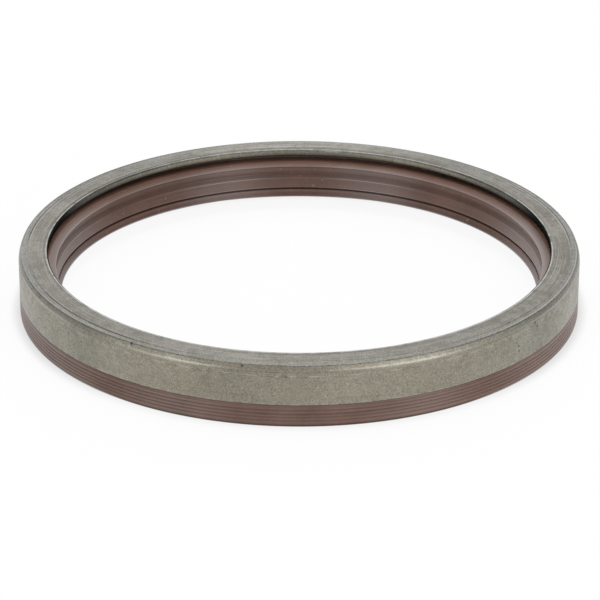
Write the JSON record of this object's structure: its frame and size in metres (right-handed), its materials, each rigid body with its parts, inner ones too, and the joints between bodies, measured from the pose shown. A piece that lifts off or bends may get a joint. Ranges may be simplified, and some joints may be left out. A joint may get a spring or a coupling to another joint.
{
  "type": "axle oil seal",
  "caption": "Large rotary shaft seal for an axle hub: steel case with a hemmed flange, brown rubber ring with main lip, dust lip and ribbed outside, and a garter spring.",
  "frame": {"origin": "centre of the flat face on the oil side, which the seal lies on, on the seal's own axis", "axes": "+Z along the seal's axis, from the oil side to the air side; X and Y are radial and alike"},
  "size_m": [0.2, 0.2, 0.0227],
  "materials": {
    "case_steel": "dull stamped steel with fine grain and handling marks",
    "ring_steel": "dull phosphated sheet steel",
    "brown_rubber": "smooth moulded rubber, slightly glossy",
    "spring_steel": "drawn spring wire, close wound"
  },
  "bodies": {
    "root": {"steel_case": "case_steel", "support_ring": "ring_steel", "rubber_seal": "brown_rubber", "garter_spring": "spring_steel"}
  },
  "joints": []
}
